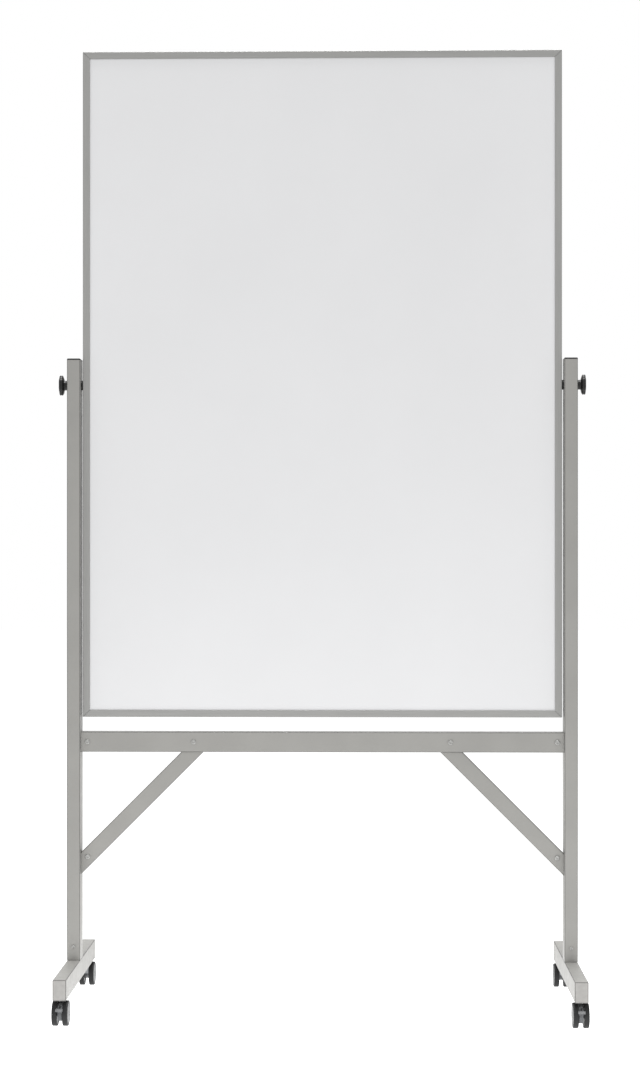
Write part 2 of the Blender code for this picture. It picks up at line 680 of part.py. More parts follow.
def main():
    for obj in list(bpy.data.objects):
        bpy.data.objects.remove(obj)
    stand = empty("stand", (0.0, 0.0, 0.0))
    for name, side in SIDES:
        build_post(name, side, stand)
        build_foot(name, side, stand)
        build_brace(name, side, stand)
        build_pivot(name, side, stand)
    build_crossbar(stand)
    build_board(empty("board_pivot", (0.0, 0.0, PIVOT_Z), stand))
    for end, forward in ENDS:
        for name, side in SIDES:
            turned = forward > 0
            build_caster(f"{end}_{name}", side * CASTER_X, forward * SWIVEL_Y,
                         math.pi if turned else 0.0, -side if turned else side, stand)


main()
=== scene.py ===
"""Looks of a rolling two-sided whiteboard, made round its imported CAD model.

Metres, +Z up, +X to the right, the front faces -Y.  Pieces are placed by the boxes of the
CAD nodes and by the joints' points.  The constants give the shapes within a piece, the
view, the lights and the finishes.
"""

import json
import math

import bmesh
import bpy
from mathutils import Matrix, Vector

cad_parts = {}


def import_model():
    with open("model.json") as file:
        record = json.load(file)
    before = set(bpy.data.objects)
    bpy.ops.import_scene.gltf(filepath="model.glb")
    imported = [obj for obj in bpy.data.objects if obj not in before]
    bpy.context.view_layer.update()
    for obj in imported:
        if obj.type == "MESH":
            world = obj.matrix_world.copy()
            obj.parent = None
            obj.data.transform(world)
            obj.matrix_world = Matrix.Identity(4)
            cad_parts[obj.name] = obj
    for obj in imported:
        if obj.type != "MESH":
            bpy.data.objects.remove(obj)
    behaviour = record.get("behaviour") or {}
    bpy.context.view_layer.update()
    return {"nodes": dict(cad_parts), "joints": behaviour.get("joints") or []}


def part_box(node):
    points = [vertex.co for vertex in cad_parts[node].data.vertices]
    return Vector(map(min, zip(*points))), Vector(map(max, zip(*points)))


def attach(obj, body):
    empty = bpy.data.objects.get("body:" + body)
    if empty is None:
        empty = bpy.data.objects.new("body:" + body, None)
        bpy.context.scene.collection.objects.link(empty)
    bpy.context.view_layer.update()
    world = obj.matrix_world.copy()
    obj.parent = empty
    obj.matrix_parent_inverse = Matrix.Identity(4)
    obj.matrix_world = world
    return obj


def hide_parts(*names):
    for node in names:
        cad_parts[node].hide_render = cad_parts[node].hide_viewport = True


SIDES = (("left", -1), ("right", 1))
ENDS = ("front", "rear")

# ---- view and light ----
CAMERA_PLACE = (0.0997, -5.182, 1.135)
CAMERA_YAW = math.radians(1.157)       # to the left of straight ahead
CAMERA_LENS = 67.2
CAMERA_SHIFT_Y = 0.02367
CAMERA_SENSOR_WIDTH = 36.0
CAMERA_CLIP_END = 200.0
WORLD_LIGHT = 1.0
SIDE_LIGHT_POWER = 20.0
SIDE_LIGHT_SIZE = (2.6, 3.2)
SIDE_LIGHT_PLACE = (3.2, -0.5, 1.2)
TOP_LIGHT_POWER = 760.0
TOP_LIGHT_SIZE = 2.0
TOP_LIGHT_HEIGHT = 9.0
FLOOR_SIZE = 60.0
FLOOR_TONE = (0.34, 0.36)              # darkest and lightest grey of its faint mottling
FLOOR_MOTTLE_SCALE = 1.5
FLOOR_ROUGHNESS = 0.9
# painted light: the floor glows, brightest round the object, lighting it from below and keeping
# the shade under it white
FLOOR_GLOW = 2.0                       # emission at the glow's middle
FLOOR_GLOW_Y = -0.4                    # the glow's middle lies before the object
FLOOR_GLOW_FAR = 0.68
FLOOR_GLOW_REACH = 1.9                 # radius at which the glow has faded

# ---- shaping ----
WELD_DISTANCE = 0.000005
FLAT_ANGLE = math.radians(1.0)
SHARP_ANGLE = math.radians(38.0)
ROUND_STEPS = 6
RING_POINTS = 72
PIN_POINTS = 32
TUBE_BEVEL = 0.0003
RAIL_BEVEL = 0.0006
HOUSING_BEVEL = 0.0009
SHEET_BEVEL = 0.0001
PEDAL_BEVEL = 0.00015

# ---- end caps; a rim lists the inset from the outline and the depth below the face ----
CAP_CORNER = 0.0025                    # round of the tubes' corners
CAP_CORNER_LEAST = 0.0008
CAP_PLUG_INSET = 0.0022
CAP_SEAT_INSET = 0.00025               # eased edge where the flange meets the tube
CAP_SEAT_RISE = 0.0003
POST_CAP_RIM = ((0.0, 0.0024), (0.0002, 0.0015), (0.0007, 0.0007), (0.0015, 0.0002),
                (0.0024, 0.0))
FOOT_CAP_RIM = ((0.0, 0.0012), (0.0002, 0.0010), (0.0021, 0.0001), (0.0026, 0.0))

# ---- screws ----
SCREW_HEAD_HEIGHT = 0.0024
SCREW_SHANK_RADIUS = 0.0025
SCREW_SOCKET_DEPTH = 0.0014
SCREW_POINTS = 48
SCREW_DOME_STEPS = 6
SCREW_TIP_LENGTH = 0.001
SCREW_TIP_SHARE = 0.6                  # of the shank's radius
SCREW_SOCKET_SHARE = 0.42              # of the head's radius, like the next two
SCREW_FLAT_SHARE = 0.66                # flat middle of the domed head
SCREW_UNDERSIDE_SHARE = 0.97
SCREW_EDGE_SHARE = 0.25                # upright edge, of the head's height
SCREW_EASE_SHARE = 0.08                # eased underside, of the head's height
SOCKET_CHAMFER = 1.22                  # of the socket's radius
SOCKET_CHAMFER_DEPTH = 0.0002
SOCKET_CONE = 0.3                      # drill cone's end, of the socket's radius
SOCKET_CONE_DEPTH = 1.2                # of the socket's depth

# ---- clamp knob, along its stud from the face that meets the post ----
KNOB_CLEARANCE = 0.0003                # between the knob's neck and the post
KNOB_LOBES = 7
KNOB_POINTS = 16 * KNOB_LOBES
KNOB_NECK_RADIUS = 0.0125
KNOB_NECK_LENGTH = 0.0092
KNOB_NECK_EASE = 0.0006
KNOB_NECK_FLARE = 0.0008               # widening where the neck meets the head
KNOB_LOBE_POWER = 1.6                  # above 1 the lobes are broader than the dips
STUD_RADIUS = 0.004
STUD_TIP_LENGTH = 0.001
STUD_TIP_SHARE = 0.75
# the head, from the end of the neck: along, radius, lobe depth
KNOB_HEAD = (
    (0.0006, 0.0160, 0.0008), (0.0025, 0.0230, 0.0018), (0.0031, 0.0247, 0.0022),
    (0.0038, 0.0256, 0.0022), (0.0046, 0.0260, 0.0022), (0.0060, 0.0260, 0.0022),
    (0.0064, 0.0254, 0.0022), (0.0080, 0.0254, 0.0022), (0.0084, 0.0260, 0.0022),
    (0.0100, 0.0260, 0.0022), (0.0109, 0.0256, 0.0022), (0.0115, 0.0247, 0.0020),
    (0.0118, 0.0230, 0.0015), (0.01215, 0.0190, 0.0006), (0.0124, 0.0140, 0.0))
# the face's shallow recess: depth below the face, radius
KNOB_RECESS = ((0.0, 0.0100), (0.0, 0.0088), (0.0006, 0.0084), (0.0006, 0.0020))
SPACER_EASE = 0.0007
SPACER_BORE_RADIUS = 0.0044

# ---- caster, in its own frame: the swivel axis is Z, the wheels trail to -Y ----
HOOD_BOTTOM = 0.0365                   # faces centred below it get the web's plastic
HOUSING_TOP = 0.0635
SWIVEL_CLEARANCE = 0.0005              # between the housing and the stem's flange
FOOT_CLEARANCE = 0.0003                # between the flange and the foot
STEM_RADIUS = 0.004
FLANGE_EASE = 0.0005
THREAD_DEPTH = 0.0006
THREAD_PITCH = 0.00125
STEM_TIP = 0.0008
TREAD_SHOULDER = 0.0022
TREAD_EASE = 0.0004
BORE_CLEARANCE = 0.0003                # beyond the axle's end
TREAD_RADIUS_INNER = 0.0262
HUB_RADIUS = 0.0258
AXLE_BORE_RADIUS = 0.0033
HUB_DOME = 0.0009
HUB_NOTCHES = 12
NOTCH_DEPTH = 0.0009
PEDAL_PAD_TOP = (-0.0465, 0.0478)      # y and z of the pad's inner edge
PEDAL_PAD_LENGTH = 0.0095
PEDAL_PAD_THICKNESS = 0.0022
PEDAL_PAD_SLOPE = math.radians(32.0)
PEDAL_PAD_ROUND = 0.0025
PEDAL_ARM_HALF = 0.0020
PEDAL_PAD_HALF = 0.009
PEDAL_RIB_HALF = 0.006
PEDAL_RIB_PLACES = (-0.0016, 0.0, 0.0016)
PEDAL_RIB = ((-0.0003, 0.0011), (-0.0002, 0.0004), (0.0002, 0.0004), (0.0003, 0.0011))
# the pad and its sunk middle: inset from the outline, depth below the top
PEDAL_PAD_RIM = ((0.0005, PEDAL_PAD_THICKNESS), (0.0, PEDAL_PAD_THICKNESS - 0.0004),
                 (0.0, 0.0005), (0.0001, 0.0002), (0.0004, 0.0), (0.0012, 0.0),
                 (0.0015, 0.0002), (0.0017, 0.0009))
PEDAL_ARM_DEPTH = 0.0015               # the arm meets the pad this far below its top
PEDAL_ARM_EASE = 0.0002
PEDAL_HUB_RADIUS = 0.004
PEDAL_HUB_STEPS = 12
PEDAL_PIN_RADIUS = 0.0019
PEDAL_PIN_HALF = 0.0055

# ---- finishes, linear colours ----
STAND_TONE = (0.245, 0.241, 0.228)
FRAME_TONE = (0.304, 0.303, 0.295)
ENAMEL_TONE = (0.588, 0.589, 0.596)
STEEL_TONE = (0.50, 0.50, 0.50)
SCREW_TONE = (0.33, 0.33, 0.32)
CAP_TONE = (0.014, 0.014, 0.014)
KNOB_TONE = (0.012, 0.012, 0.012)
FOOT_CAP_TONE = (0.284, 0.277, 0.266)
HOOD_TONE = (0.220, 0.227, 0.235)
WEB_TONE = (0.098, 0.103, 0.109)
TREAD_TONE = (0.013, 0.0133, 0.0138)
HUB_TONE = (0.042, 0.045, 0.046)
PEDAL_TONE = (0.085, 0.088, 0.092)
LEVEL_BRUSH = (0.03, 1.0, 1.0)         # stretch of the brushed streaks
UPRIGHT_BRUSH = (1.0, 1.0, 0.03)
BRACE_SLANT = math.radians(45.0)


# ---------------------------------------------------------------- shapes

def placed(axis, along, a, b):
    """A point `along` an axis, with its other two coordinates in X, Y, Z order."""
    if axis == "X":
        return (along, a, b)
    if axis == "Y":
        return (a, along, b)
    return (a, b, along)


def rounded_rectangle(width, height, radius, steps=ROUND_STEPS):
    """Outline of a rectangle with round corners, as (a, b) points."""
    points = []
    for corner, (right, up) in enumerate(((1, 1), (-1, 1), (-1, -1), (1, -1))):
        for step in range(steps + 1):
            angle = math.pi / 2 * (corner + step / steps)
            points.append((right * (width / 2 - radius) + radius * math.cos(angle),
                           up * (height / 2 - radius) + radius * math.sin(angle)))
    return points


def ring_of(radius_at, count):
    """Outline whose radius is a function of the angle."""
    angles = [2 * math.pi * index / count for index in range(count)]
    return [(radius_at(t) * math.cos(t), radius_at(t) * math.sin(t)) for t in angles]


def circle(radius, count=RING_POINTS):
    return ring_of(lambda angle: radius, count)


def hexagon(apothem, count):
    """A hexagon with as many points as a circle, so that the two can be joined."""
    sixth = math.pi / 3
    return ring_of(lambda angle: apothem / math.cos(angle % sixth - sixth / 2), count)


def section(axis, along, outline, offset=(0.0, 0.0)):
    return [placed(axis, along, a + offset[0], b + offset[1]) for a, b in outline]


def skin(sections, closed=False):
    """One closed body through sections that have equally many points.

    An open run of sections gets a face at each end; a closed run joins its last
    section to its first.
    """
    body = bmesh.new()
    rings = [[body.verts.new(point) for point in points] for points in sections]
    pairs = list(zip(rings, rings[1:]))
    if closed:
        pairs.append((rings[-1], rings[0]))
    else:
        body.faces.new(rings[0])
        body.faces.new(rings[-1])
    for first, second in pairs:
        for index, vertex in enumerate(first):
            after = (index + 1) % len(first)
            body.faces.new((vertex, first[after], second[after], second[index]))
    bmesh.ops.recalc_face_normals(body, faces=body.faces)
    return body


def lathe(axis, profile, offset=(0.0, 0.0), count=RING_POINTS, closed=False):
    """A turned body: the profile lists (along, radius) from one end to the other."""
    return skin([section(axis, along, circle(radius, count), offset)
                 for along, radius in profile], closed)


def arc(middle, radius, start, end, steps=ROUND_STEPS):
    """Points on an arc, angles in degrees."""
    points = []
    for step in range(steps + 1):
        angle = math.radians(start + (end - start) * step / steps)
        points.append((middle[0] + radius * math.cos(angle),
                       middle[1] + radius * math.sin(angle)))
    return points


def add_object(name, body):
    mesh = bpy.data.meshes.new(name)
    body.to_mesh(mesh)
    body.free()
    obj = bpy.data.objects.new(name, mesh)
    bpy.context.scene.collection.objects.link(obj)
    return obj


def union(bodies):
    """One closed body from overlapping closed bodies."""
    objects = [add_object(f"union_{index}", body) for index, body in enumerate(bodies)]
    base = objects[0]
    for other in objects[1:]:
        modifier = base.modifiers.new("join", "BOOLEAN")
        modifier.operation = "UNION"
        modifier.solver = "EXACT"
        modifier.object = other
    depsgraph = bpy.context.evaluated_depsgraph_get()
    joined = bmesh.new()
    joined.from_mesh(base.evaluated_get(depsgraph).to_mesh())
    for obj in objects:
        bpy.data.objects.remove(obj)
    return joined


def smooth(obj, bevel=0.0, steps=2):
    """Round an object's hard edges, keep its flat faces flat and shade the rest smooth."""
    obj.data.shade_smooth()
    obj.data.set_sharp_from_angle(angle=SHARP_ANGLE)
    if bevel:
        rounding = obj.modifiers.new("rounding", "BEVEL")
        rounding.width = bevel
        rounding.segments = steps
        rounding.limit_method = "ANGLE"
        rounding.angle_limit = SHARP_ANGLE
        rounding.use_clamp_overlap = True
    weighted = obj.modifiers.new("flat faces", "WEIGHTED_NORMAL")
    weighted.keep_sharp = not bevel


def piece(name, body, material, rides, stands_for, bevel=0.0):
    """A finished piece that rides on a CAD body and stands for a CAD node."""
    obj = add_object(name, body)
    obj.data.materials.append(material)
    smooth(obj, bevel)
    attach(obj, rides)
    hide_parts(stands_for)
    return obj


def cad_body(frame, node):
    """A copy of a CAD node's shape, with its triangles joined into whole faces."""
    body = bmesh.new()
    body.from_mesh(frame["nodes"][node].data)
    for layer in list(body.loops.layers.int) + list(body.loops.layers.float_vector):
        if layer.name == "custom_normal":
            body.loops.layers.int.remove(layer)
    bmesh.ops.remove_doubles(body, verts=body.verts, dist=WELD_DISTANCE)
    bmesh.ops.dissolve_limit(body, angle_limit=FLAT_ANGLE, verts=body.verts,
                             edges=body.edges)
    bmesh.ops.recalc_face_normals(body, faces=body.faces)
    return body


# ---------------------------------------------------------------- materials

def link(tree, source, target):
    tree.links.new(source, target)


def new_material(name, **sockets):
    """A material whose shader sockets hold the given constants."""
    material = bpy.data.materials.new(name)
    material.use_nodes = True
    shader = material.node_tree.nodes["Principled BSDF"]
    for socket, value in sockets.items():
        shader.inputs[socket.replace("_", " ")].default_value = value
    return material, material.node_tree, shader


def coordinates(tree, stretch=(1.0, 1.0, 1.0)):
    """Object coordinates in metres, optionally stretched along an axis."""
    place = tree.nodes.new("ShaderNodeTexCoord")
    mapping = tree.nodes.new("ShaderNodeMapping")
    mapping.inputs["Scale"].default_value = stretch
    link(tree, place.outputs["Object"], mapping.inputs["Vector"])
    return mapping.outputs["Vector"]


def noise(tree, where, scale, detail=3.0, roughness=0.5):
    texture = tree.nodes.new("ShaderNodeTexNoise")
    texture.inputs["Scale"].default_value = scale
    texture.inputs["Detail"].default_value = detail
    texture.inputs["Roughness"].default_value = roughness
    link(tree, where, texture.inputs["Vector"])
    return texture.outputs["Fac"]


def ramp(tree, value, stops):
    """Colours over a value; each stop is (position, (r, g, b))."""
    node = tree.nodes.new("ShaderNodeValToRGB")
    band = node.color_ramp
    while len(band.elements) < len(stops):
        band.elements.new(0.5)
    for element, (position, colour) in zip(band.elements, stops):
        element.position = position
        element.color = (*colour, 1.0)
    link(tree, value, node.inputs["Fac"])
    return node.outputs["Color"]


def spread(tree, value, low, high):
    """A 0 to 1 value carried to another range."""
    node = tree.nodes.new("ShaderNodeMapRange")
    node.inputs["From Min"].default_value = 0.3
    node.inputs["From Max"].default_value = 0.7
    node.inputs["To Min"].default_value = low
    node.inputs["To Max"].default_value = high
    link(tree, value, node.inputs["Value"])
    return node.outputs["Result"]


def bumps(tree, shader, height, distance, strength=1.0, under=None):
    node = tree.nodes.new("ShaderNodeBump")
    node.inputs["Distance"].default_value = distance
    node.inputs["Strength"].default_value = strength
    link(tree, height, node.inputs["Height"])
    if under:
        link(tree, under, node.inputs["Normal"])
    link(tree, node.outputs["Normal"], shader.inputs["Normal"])
    return node.outputs["Normal"]


def multiply(tree, first, second):
    node = tree.nodes.new("ShaderNodeMix")
    node.data_type = "RGBA"
    node.blend_type = "MULTIPLY"
    node.inputs["Factor"].default_value = 1.0
    link(tree, first, node.inputs["A"])
    link(tree, second, node.inputs["B"])
    return node.outputs["Result"]


def shades(colour, spread_share):
    """Two near tones round a colour."""
    low = tuple(c * (1 - spread_share) for c in colour)
    high = tuple(min(1.0, c * (1 + spread_share)) for c in colour)
    return low, high


def painted_edge_shade(tree, turn, darkest):
    """Painted shade: 1 on flat faces and darker where a surface turns from one face to the next.

    The object's normal is turned by `turn` about Y first, so that the flat faces of a
    slanted tube line up with the axes.
    """
    place = tree.nodes.new("ShaderNodeTexCoord")
    mapping = tree.nodes.new("ShaderNodeMapping")
    mapping.vector_type = "NORMAL"
    mapping.inputs["Rotation"].default_value = (0.0, turn, 0.0)
    link(tree, place.outputs["Normal"], mapping.inputs["Vector"])
    split = tree.nodes.new("ShaderNodeSeparateXYZ")
    link(tree, mapping.outputs["Vector"], split.inputs["Vector"])
    largest = None
    for axis in "XYZ":
        size = tree.nodes.new("ShaderNodeMath")
        size.operation = "ABSOLUTE"
        link(tree, split.outputs[axis], size.inputs[0])
        if largest is None:
            largest = size.outputs["Value"]
            continue
        most = tree.nodes.new("ShaderNodeMath")
        most.operation = "MAXIMUM"
        link(tree, largest, most.inputs[0])
        link(tree, size.outputs["Value"], most.inputs[1])
        largest = most.outputs["Value"]
    dark = (darkest,) * 3
    return ramp(tree, largest, ((0.80, dark), (0.93, dark), (0.995, (1.0, 1.0, 1.0))))


def paint_material(name, colour, turn=0.0, edge_shade=0.45):
    """Satin powder coat: a fine orange peel, slight mottling, painted shade on the rounded
    edges.
    """
    material, tree, shader = new_material(name, Metallic=0.0)
    where = coordinates(tree)
    low, high = shades(colour, 0.035)
    mottle = ramp(tree, noise(tree, where, 9.0, 4.0), ((0.35, low), (0.65, high)))
    link(tree, multiply(tree, mottle, painted_edge_shade(tree, turn, edge_shade)),
         shader.inputs["Base Color"])
    link(tree, spread(tree, noise(tree, where, 60.0), 0.40, 0.50), shader.inputs["Roughness"])
    peel = noise(tree, where, 900.0, 2.0)
    bumps(tree, shader, peel, 0.00006, 0.6)
    return material


def aluminium_material(name, colour, stretch, edge_shade=0.70):
    """Satin anodised aluminium, brushed along one direction; painted shade on rounded edges."""
    material, tree, shader = new_material(name, Metallic=0.75)
    brushed = coordinates(tree, stretch)
    low, high = shades(colour, 0.05)
    streaks = noise(tree, brushed, 500.0, 4.0, 0.6)
    tone = ramp(tree, streaks, ((0.3, low), (0.7, high)))
    link(tree, multiply(tree, tone, painted_edge_shade(tree, 0.0, edge_shade)),
         shader.inputs["Base Color"])
    link(tree, spread(tree, streaks, 0.34, 0.46), shader.inputs["Roughness"])
    bumps(tree, shader, streaks, 0.00003, 0.5)
    return material


def enamel_material(name, colour):
    """White porcelain enamel: glossy, faintly wavy, with the haze of wiped marks."""
    material, tree, shader = new_material(name, Metallic=0.0, Coat_Weight=0.35,
                                          Coat_Roughness=0.06)
    where = coordinates(tree)
    low, high = shades(colour, 0.012)
    haze = noise(tree, where, 2.2, 5.0, 0.6)
    link(tree, ramp(tree, haze, ((0.35, low), (0.65, high))), shader.inputs["Base Color"])
    wiped = noise(tree, coordinates(tree, (1.0, 1.0, 0.35)), 14.0, 4.0)
    link(tree, spread(tree, wiped, 0.16, 0.26), shader.inputs["Roughness"])
    wave = noise(tree, where, 7.0, 2.0)
    grain = noise(tree, where, 1400.0, 2.0)
    waved = bumps(tree, shader, wave, 0.0006, 0.25)
    bumps(tree, shader, grain, 0.00002, 0.4, waved)
    return material


def plastic_material(name, colour, roughness, grain=1500.0, variation=0.06, edge_shade=1.0,
                     sheen=0.5):
    """Moulded plastic: spark-eroded grain, slight tone and gloss variation, painted shade on
    rounded edges if asked.
    """
    material, tree, shader = new_material(name, Metallic=0.0, Specular_IOR_Level=sheen)
    where = coordinates(tree)
    low, high = shades(colour, variation)
    tone = ramp(tree, noise(tree, where, 70.0, 4.0), ((0.35, low), (0.65, high)))
    if edge_shade < 1.0:
        tone = multiply(tree, tone, painted_edge_shade(tree, 0.0, edge_shade))
    link(tree, tone, shader.inputs["Base Color"])
    gloss = noise(tree, where, 160.0)
    link(tree, spread(tree, gloss, roughness - 0.05, roughness + 0.05),
         shader.inputs["Roughness"])
    bumps(tree, shader, noise(tree, where, grain, 2.0), 0.00005, 0.5)
    return material


def steel_material(name, colour, roughness):
    """Zinc-plated steel with a faint crystalline mottling."""
    material, tree, shader = new_material(name, Metallic=0.9)
    where = coordinates(tree)
    low, high = shades(colour, 0.12)
    grain = noise(tree, where, 350.0, 4.0, 0.6)
    link(tree, ramp(tree, grain, ((0.35, low), (0.65, high))), shader.inputs["Base Color"])
    link(tree, spread(tree, grain, roughness - 0.06, roughness + 0.06),
         shader.inputs["Roughness"])
    bumps(tree, shader, grain, 0.00003, 0.5)
    return material


def fibre_material(name):
    """Pressed fibreboard."""
    material, tree, shader = new_material(name, Metallic=0.0)
    where = coordinates(tree, (1.0, 1.0, 0.4))
    fibres = noise(tree, where, 900.0, 6.0, 0.7)
    link(tree, ramp(tree, fibres, ((0.3, (0.26, 0.17, 0.09)), (0.7, (0.50, 0.37, 0.22)))),
         shader.inputs["Base Color"])
    link(tree, spread(tree, fibres, 0.75, 0.95), shader.inputs["Roughness"])
    bumps(tree, shader, fibres, 0.0002, 0.7)
    return material


def make_materials():
    return {
        "paint": paint_material("stand_powder_coat", STAND_TONE),
        "brace_left": paint_material("left_brace_powder_coat", STAND_TONE, BRACE_SLANT),
        "brace_right": paint_material("right_brace_powder_coat", STAND_TONE, -BRACE_SLANT),
        "rail_level": aluminium_material("frame_brushed_level", FRAME_TONE, LEVEL_BRUSH),
        "rail_upright": aluminium_material("frame_brushed_upright", FRAME_TONE, UPRIGHT_BRUSH),
        "enamel": enamel_material("white_enamel_surface", ENAMEL_TONE),
        "core": fibre_material("core_fibreboard"),
        "steel": steel_material("zinc_plated_steel", STEEL_TONE, 0.36),
        "screw": steel_material("satin_screw_steel", SCREW_TONE, 0.42),
        "black": plastic_material("black_cap_plastic", CAP_TONE, 0.45, sheen=0.25),
        "knob": plastic_material("black_knob_plastic", KNOB_TONE, 0.38, sheen=0.3),
        # the foot caps carry strong painted shade on their rounded edges
        "foot_cap": plastic_material("foot_cap_plastic_shaded_edges", FOOT_CAP_TONE, 0.45, edge_shade=0.5),
        "housing": plastic_material("caster_hood_plastic", HOOD_TONE, 0.42),
        "web": plastic_material("caster_web_plastic", WEB_TONE, 0.42),
        "tread": plastic_material("soft_tread_rubber", TREAD_TONE, 0.58,
                                  grain=900.0, sheen=0.25),
        "hub": plastic_material("grey_hub_plastic", HUB_TONE, 0.40),
        "pedal": plastic_material("grey_pedal_plastic", PEDAL_TONE, 0.40),
    }


# ---------------------------------------------------------------- stand

def build_tubes(frame, materials):
    """Posts, feet, crossbar and braces keep their CAD shapes, with softened edges."""
    finishes = {"crossbar": "paint"}
    for side, _ in SIDES:
        finishes[f"{side}_post"] = "paint"
        finishes[f"{side}_foot"] = "paint"
        finishes[f"{side}_brace"] = f"brace_{side}"
    for node, finish in finishes.items():
        piece(f"{node}_tube", cad_body(frame, node), materials[finish], "root", node,
              TUBE_BEVEL)


def end_cap(axis, low, high, outward, flange, rim):
    """A tube's end cap: a flange on the tube's end and a plug inside it.

    The rim lists (inset from the flange's outline, depth below its face).
    """
    axes = [index for index in range(3) if index != "XYZ".index(axis)]
    along = "XYZ".index(axis)
    middle = [(low[index] + high[index]) / 2 for index in axes]
    size = [high[index] - low[index] for index in axes]
    face, deep = (high[along], low[along]) if outward > 0 else (low[along], high[along])
    seat = face - outward * flange

    def outline(inset):
        return rounded_rectangle(size[0] - 2 * inset, size[1] - 2 * inset,
                                 max(CAP_CORNER - inset, CAP_CORNER_LEAST))

    steps = [(deep, CAP_PLUG_INSET), (seat, CAP_PLUG_INSET), (seat, CAP_SEAT_INSET),
             (seat + outward * CAP_SEAT_RISE, 0.0)]
    steps += [(face - outward * depth, inset) for inset, depth in rim]
    return skin([section(axis, place, outline(inset), middle) for place, inset in steps])


def build_caps(materials):
    for side, _ in SIDES:
        node = f"{side}_post_cap"
        low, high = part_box(node)
        flange = high.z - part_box(f"{side}_post")[1].z
        piece(f"{side}_post_end_cap", end_cap("Z", low, high, 1, flange, POST_CAP_RIM),
              materials["black"], "root", node)
        for end, outward in zip(ENDS, (-1, 1)):
            node = f"{side}_foot_{end}_cap"
            low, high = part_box(node)
            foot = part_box(f"{side}_foot")
            flange = foot[0].y - low.y if outward < 0 else high.y - foot[1].y
            piece(f"{side}_foot_{end}_end_cap",
                  end_cap("Y", low, high, outward, flange, FOOT_CAP_RIM),
                  materials["foot_cap"], "root", node)


def screw_body(low, high):
    """A pan-head screw with a hexagon socket, its head towards -Y."""
    middle = ((low.x + high.x) / 2, (low.z + high.z) / 2)
    radius = (high.x - low.x) / 2
    top = low.y
    seat = top + SCREW_HEAD_HEIGHT
    socket = radius * SCREW_SOCKET_SHARE
    height = SCREW_HEAD_HEIGHT
    rings = [(high.y, SCREW_SHANK_RADIUS * SCREW_TIP_SHARE),
             (high.y - SCREW_TIP_LENGTH, SCREW_SHANK_RADIUS), (seat, SCREW_SHANK_RADIUS),
             (seat, radius * SCREW_UNDERSIDE_SHARE), (seat - height * SCREW_EASE_SHARE, radius)]
    for step in range(1, SCREW_DOME_STEPS + 1):
        angle = math.pi / 2 * step / SCREW_DOME_STEPS
        rise = SCREW_EDGE_SHARE + (1 - SCREW_EDGE_SHARE) * math.sin(angle)
        reach = SCREW_FLAT_SHARE + (1 - SCREW_FLAT_SHARE) * math.cos(angle)
        rings.append((seat - height * rise, radius * reach))

    def ring(along, outline):
        return section("Y", along, outline, middle)

    sections = [ring(along, circle(size, SCREW_POINTS)) for along, size in rings]
    sections.append(ring(top, circle(socket * SOCKET_CHAMFER, SCREW_POINTS)))
    sections.append(ring(top + SOCKET_CHAMFER_DEPTH, hexagon(socket, SCREW_POINTS)))
    sections.append(ring(top + SCREW_SOCKET_DEPTH, hexagon(socket, SCREW_POINTS)))
    sections.append(ring(top + SCREW_SOCKET_DEPTH * SOCKET_CONE_DEPTH,
                         circle(socket * SOCKET_CONE, SCREW_POINTS)))
    return skin(sections)


def build_screws(materials):
    for side, _ in SIDES:
        for label in ("crossbar_end", "crossbar_brace", "brace_foot", "post"):
            node = f"{side}_{label}_screw"
            piece(f"{side}_{label}_pan_screw", screw_body(*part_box(node)),
                  materials["screw"], "root", node)


# ---------------------------------------------------------------- pivot

def knob_body(foot, outward, stud_end, pivot_z, length):
    """Lobed clamp knob with a grooved rim, a cone behind it, a neck and its stud."""
    # along from the face at the post, radius, lobe depth
    stations = [(0.0, STUD_RADIUS, 0.0), (0.0, KNOB_NECK_RADIUS - KNOB_NECK_EASE, 0.0),
                (KNOB_NECK_EASE, KNOB_NECK_RADIUS, 0.0),
                (KNOB_NECK_LENGTH - 2 * KNOB_NECK_EASE, KNOB_NECK_RADIUS, 0.0),
                (KNOB_NECK_LENGTH, KNOB_NECK_RADIUS + KNOB_NECK_FLARE, 0.0)]
    stations += [(KNOB_NECK_LENGTH + along, radius, depth) for along, radius, depth in KNOB_HEAD]
    stations += [(length - depth, radius, 0.0) for depth, radius in KNOB_RECESS]
    at_pivot = (0.0, pivot_z)
    tip = stud_end + outward * STUD_TIP_LENGTH
    sections = [section("X", stud_end, circle(STUD_RADIUS * STUD_TIP_SHARE, KNOB_POINTS),
                        at_pivot),
                section("X", tip, circle(STUD_RADIUS, KNOB_POINTS), at_pivot)]
    for along, radius, depth in stations:
        outline = ring_of(lambda angle: radius - depth
                          * ((1 - math.cos(KNOB_LOBES * angle)) / 2) ** KNOB_LOBE_POWER,
                          KNOB_POINTS)
        sections.append(section("X", foot + outward * along, outline, at_pivot))
    return skin(sections)


def spacer_body(low, high):
    """A turned washer with eased edges and a bore."""
    middle = ((low.y + high.y) / 2, (low.z + high.z) / 2)
    radius = (high.z - low.z) / 2
    ease = SPACER_EASE
    profile = [(low.x, SPACER_BORE_RADIUS), (low.x, radius - ease)]
    profile += [(low.x + ease, radius), (high.x - ease, radius)]
    profile += [(high.x, radius - ease), (high.x, SPACER_BORE_RADIUS)]
    return lathe("X", profile, middle, closed=True)


def build_pivots(materials):
    for side, outward in SIDES:
        low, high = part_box(f"{side}_clamp_knob")
        face, stud_end = (high.x, low.x) if outward > 0 else (low.x, high.x)
        post_low, post_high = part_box(f"{side}_post_cap")
        foot = (post_high.x if outward > 0 else post_low.x) + outward * KNOB_CLEARANCE
        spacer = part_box(f"{side}_pivot_spacer")
        pivot_z = (spacer[0].z + spacer[1].z) / 2
        piece(f"{side}_lobed_knob",
              knob_body(foot, outward, stud_end, pivot_z, abs(face - foot)),
              materials["knob"], f"{side}_knob", f"{side}_clamp_knob")
        piece(f"{side}_spacer_washer", spacer_body(*spacer),
              materials["black"], "root", f"{side}_pivot_spacer")


# ---------------------------------------------------------------- board

